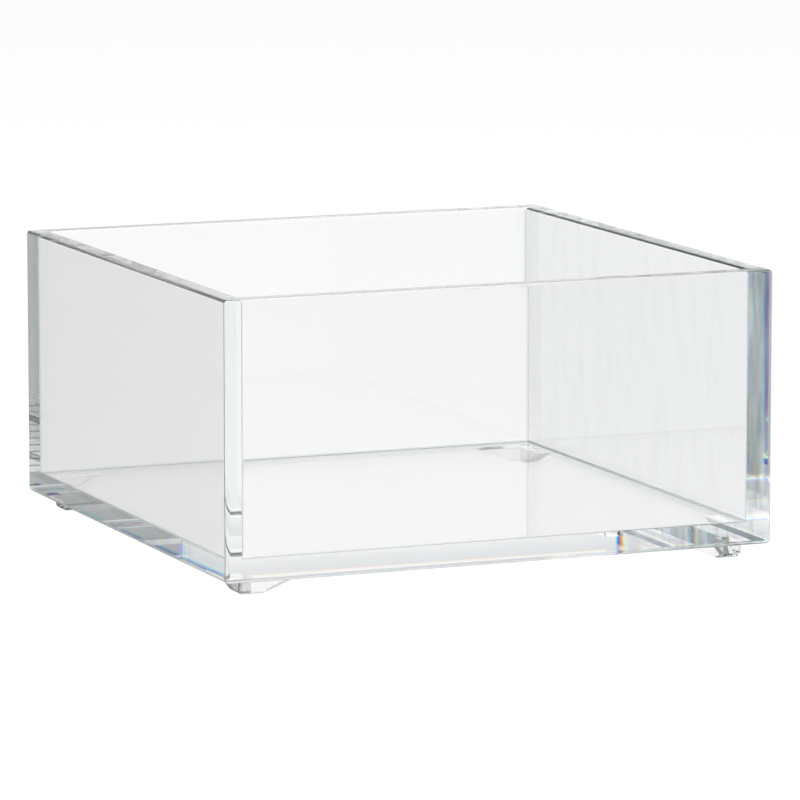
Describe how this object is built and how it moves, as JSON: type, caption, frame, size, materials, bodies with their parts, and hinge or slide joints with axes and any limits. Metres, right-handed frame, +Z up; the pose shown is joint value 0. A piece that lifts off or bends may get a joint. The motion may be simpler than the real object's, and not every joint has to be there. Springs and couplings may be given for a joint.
{
  "type": "open storage box",
  "caption": "Square open-topped storage box of thick clear sheet, standing on low L-shaped corner feet that drop inside the rim of a like box below.",
  "frame": {"origin": "middle of the footprint, on the surface that the feet stand on", "axes": "+Z up, +X to the right along the front wall, front wall faces -Y"},
  "size_m": [0.1524, 0.1524, 0.0762],
  "materials": {
    "wall_sheet": "clear cast acrylic, polished faces and edges",
    "floor_sheet": "clear cast acrylic, polished faces, fine wear from use",
    "foot_block": "clear cast acrylic, polished edges"
  },
  "bodies": {
    "root": {"front_wall": "wall_sheet", "back_wall": "wall_sheet", "left_wall": "wall_sheet", "right_wall": "wall_sheet", "floor_panel": "floor_sheet", "foot_front_left": "foot_block", "foot_front_right": "foot_block", "foot_back_left": "foot_block", "foot_back_right": "foot_block"}
  },
  "joints": []
}
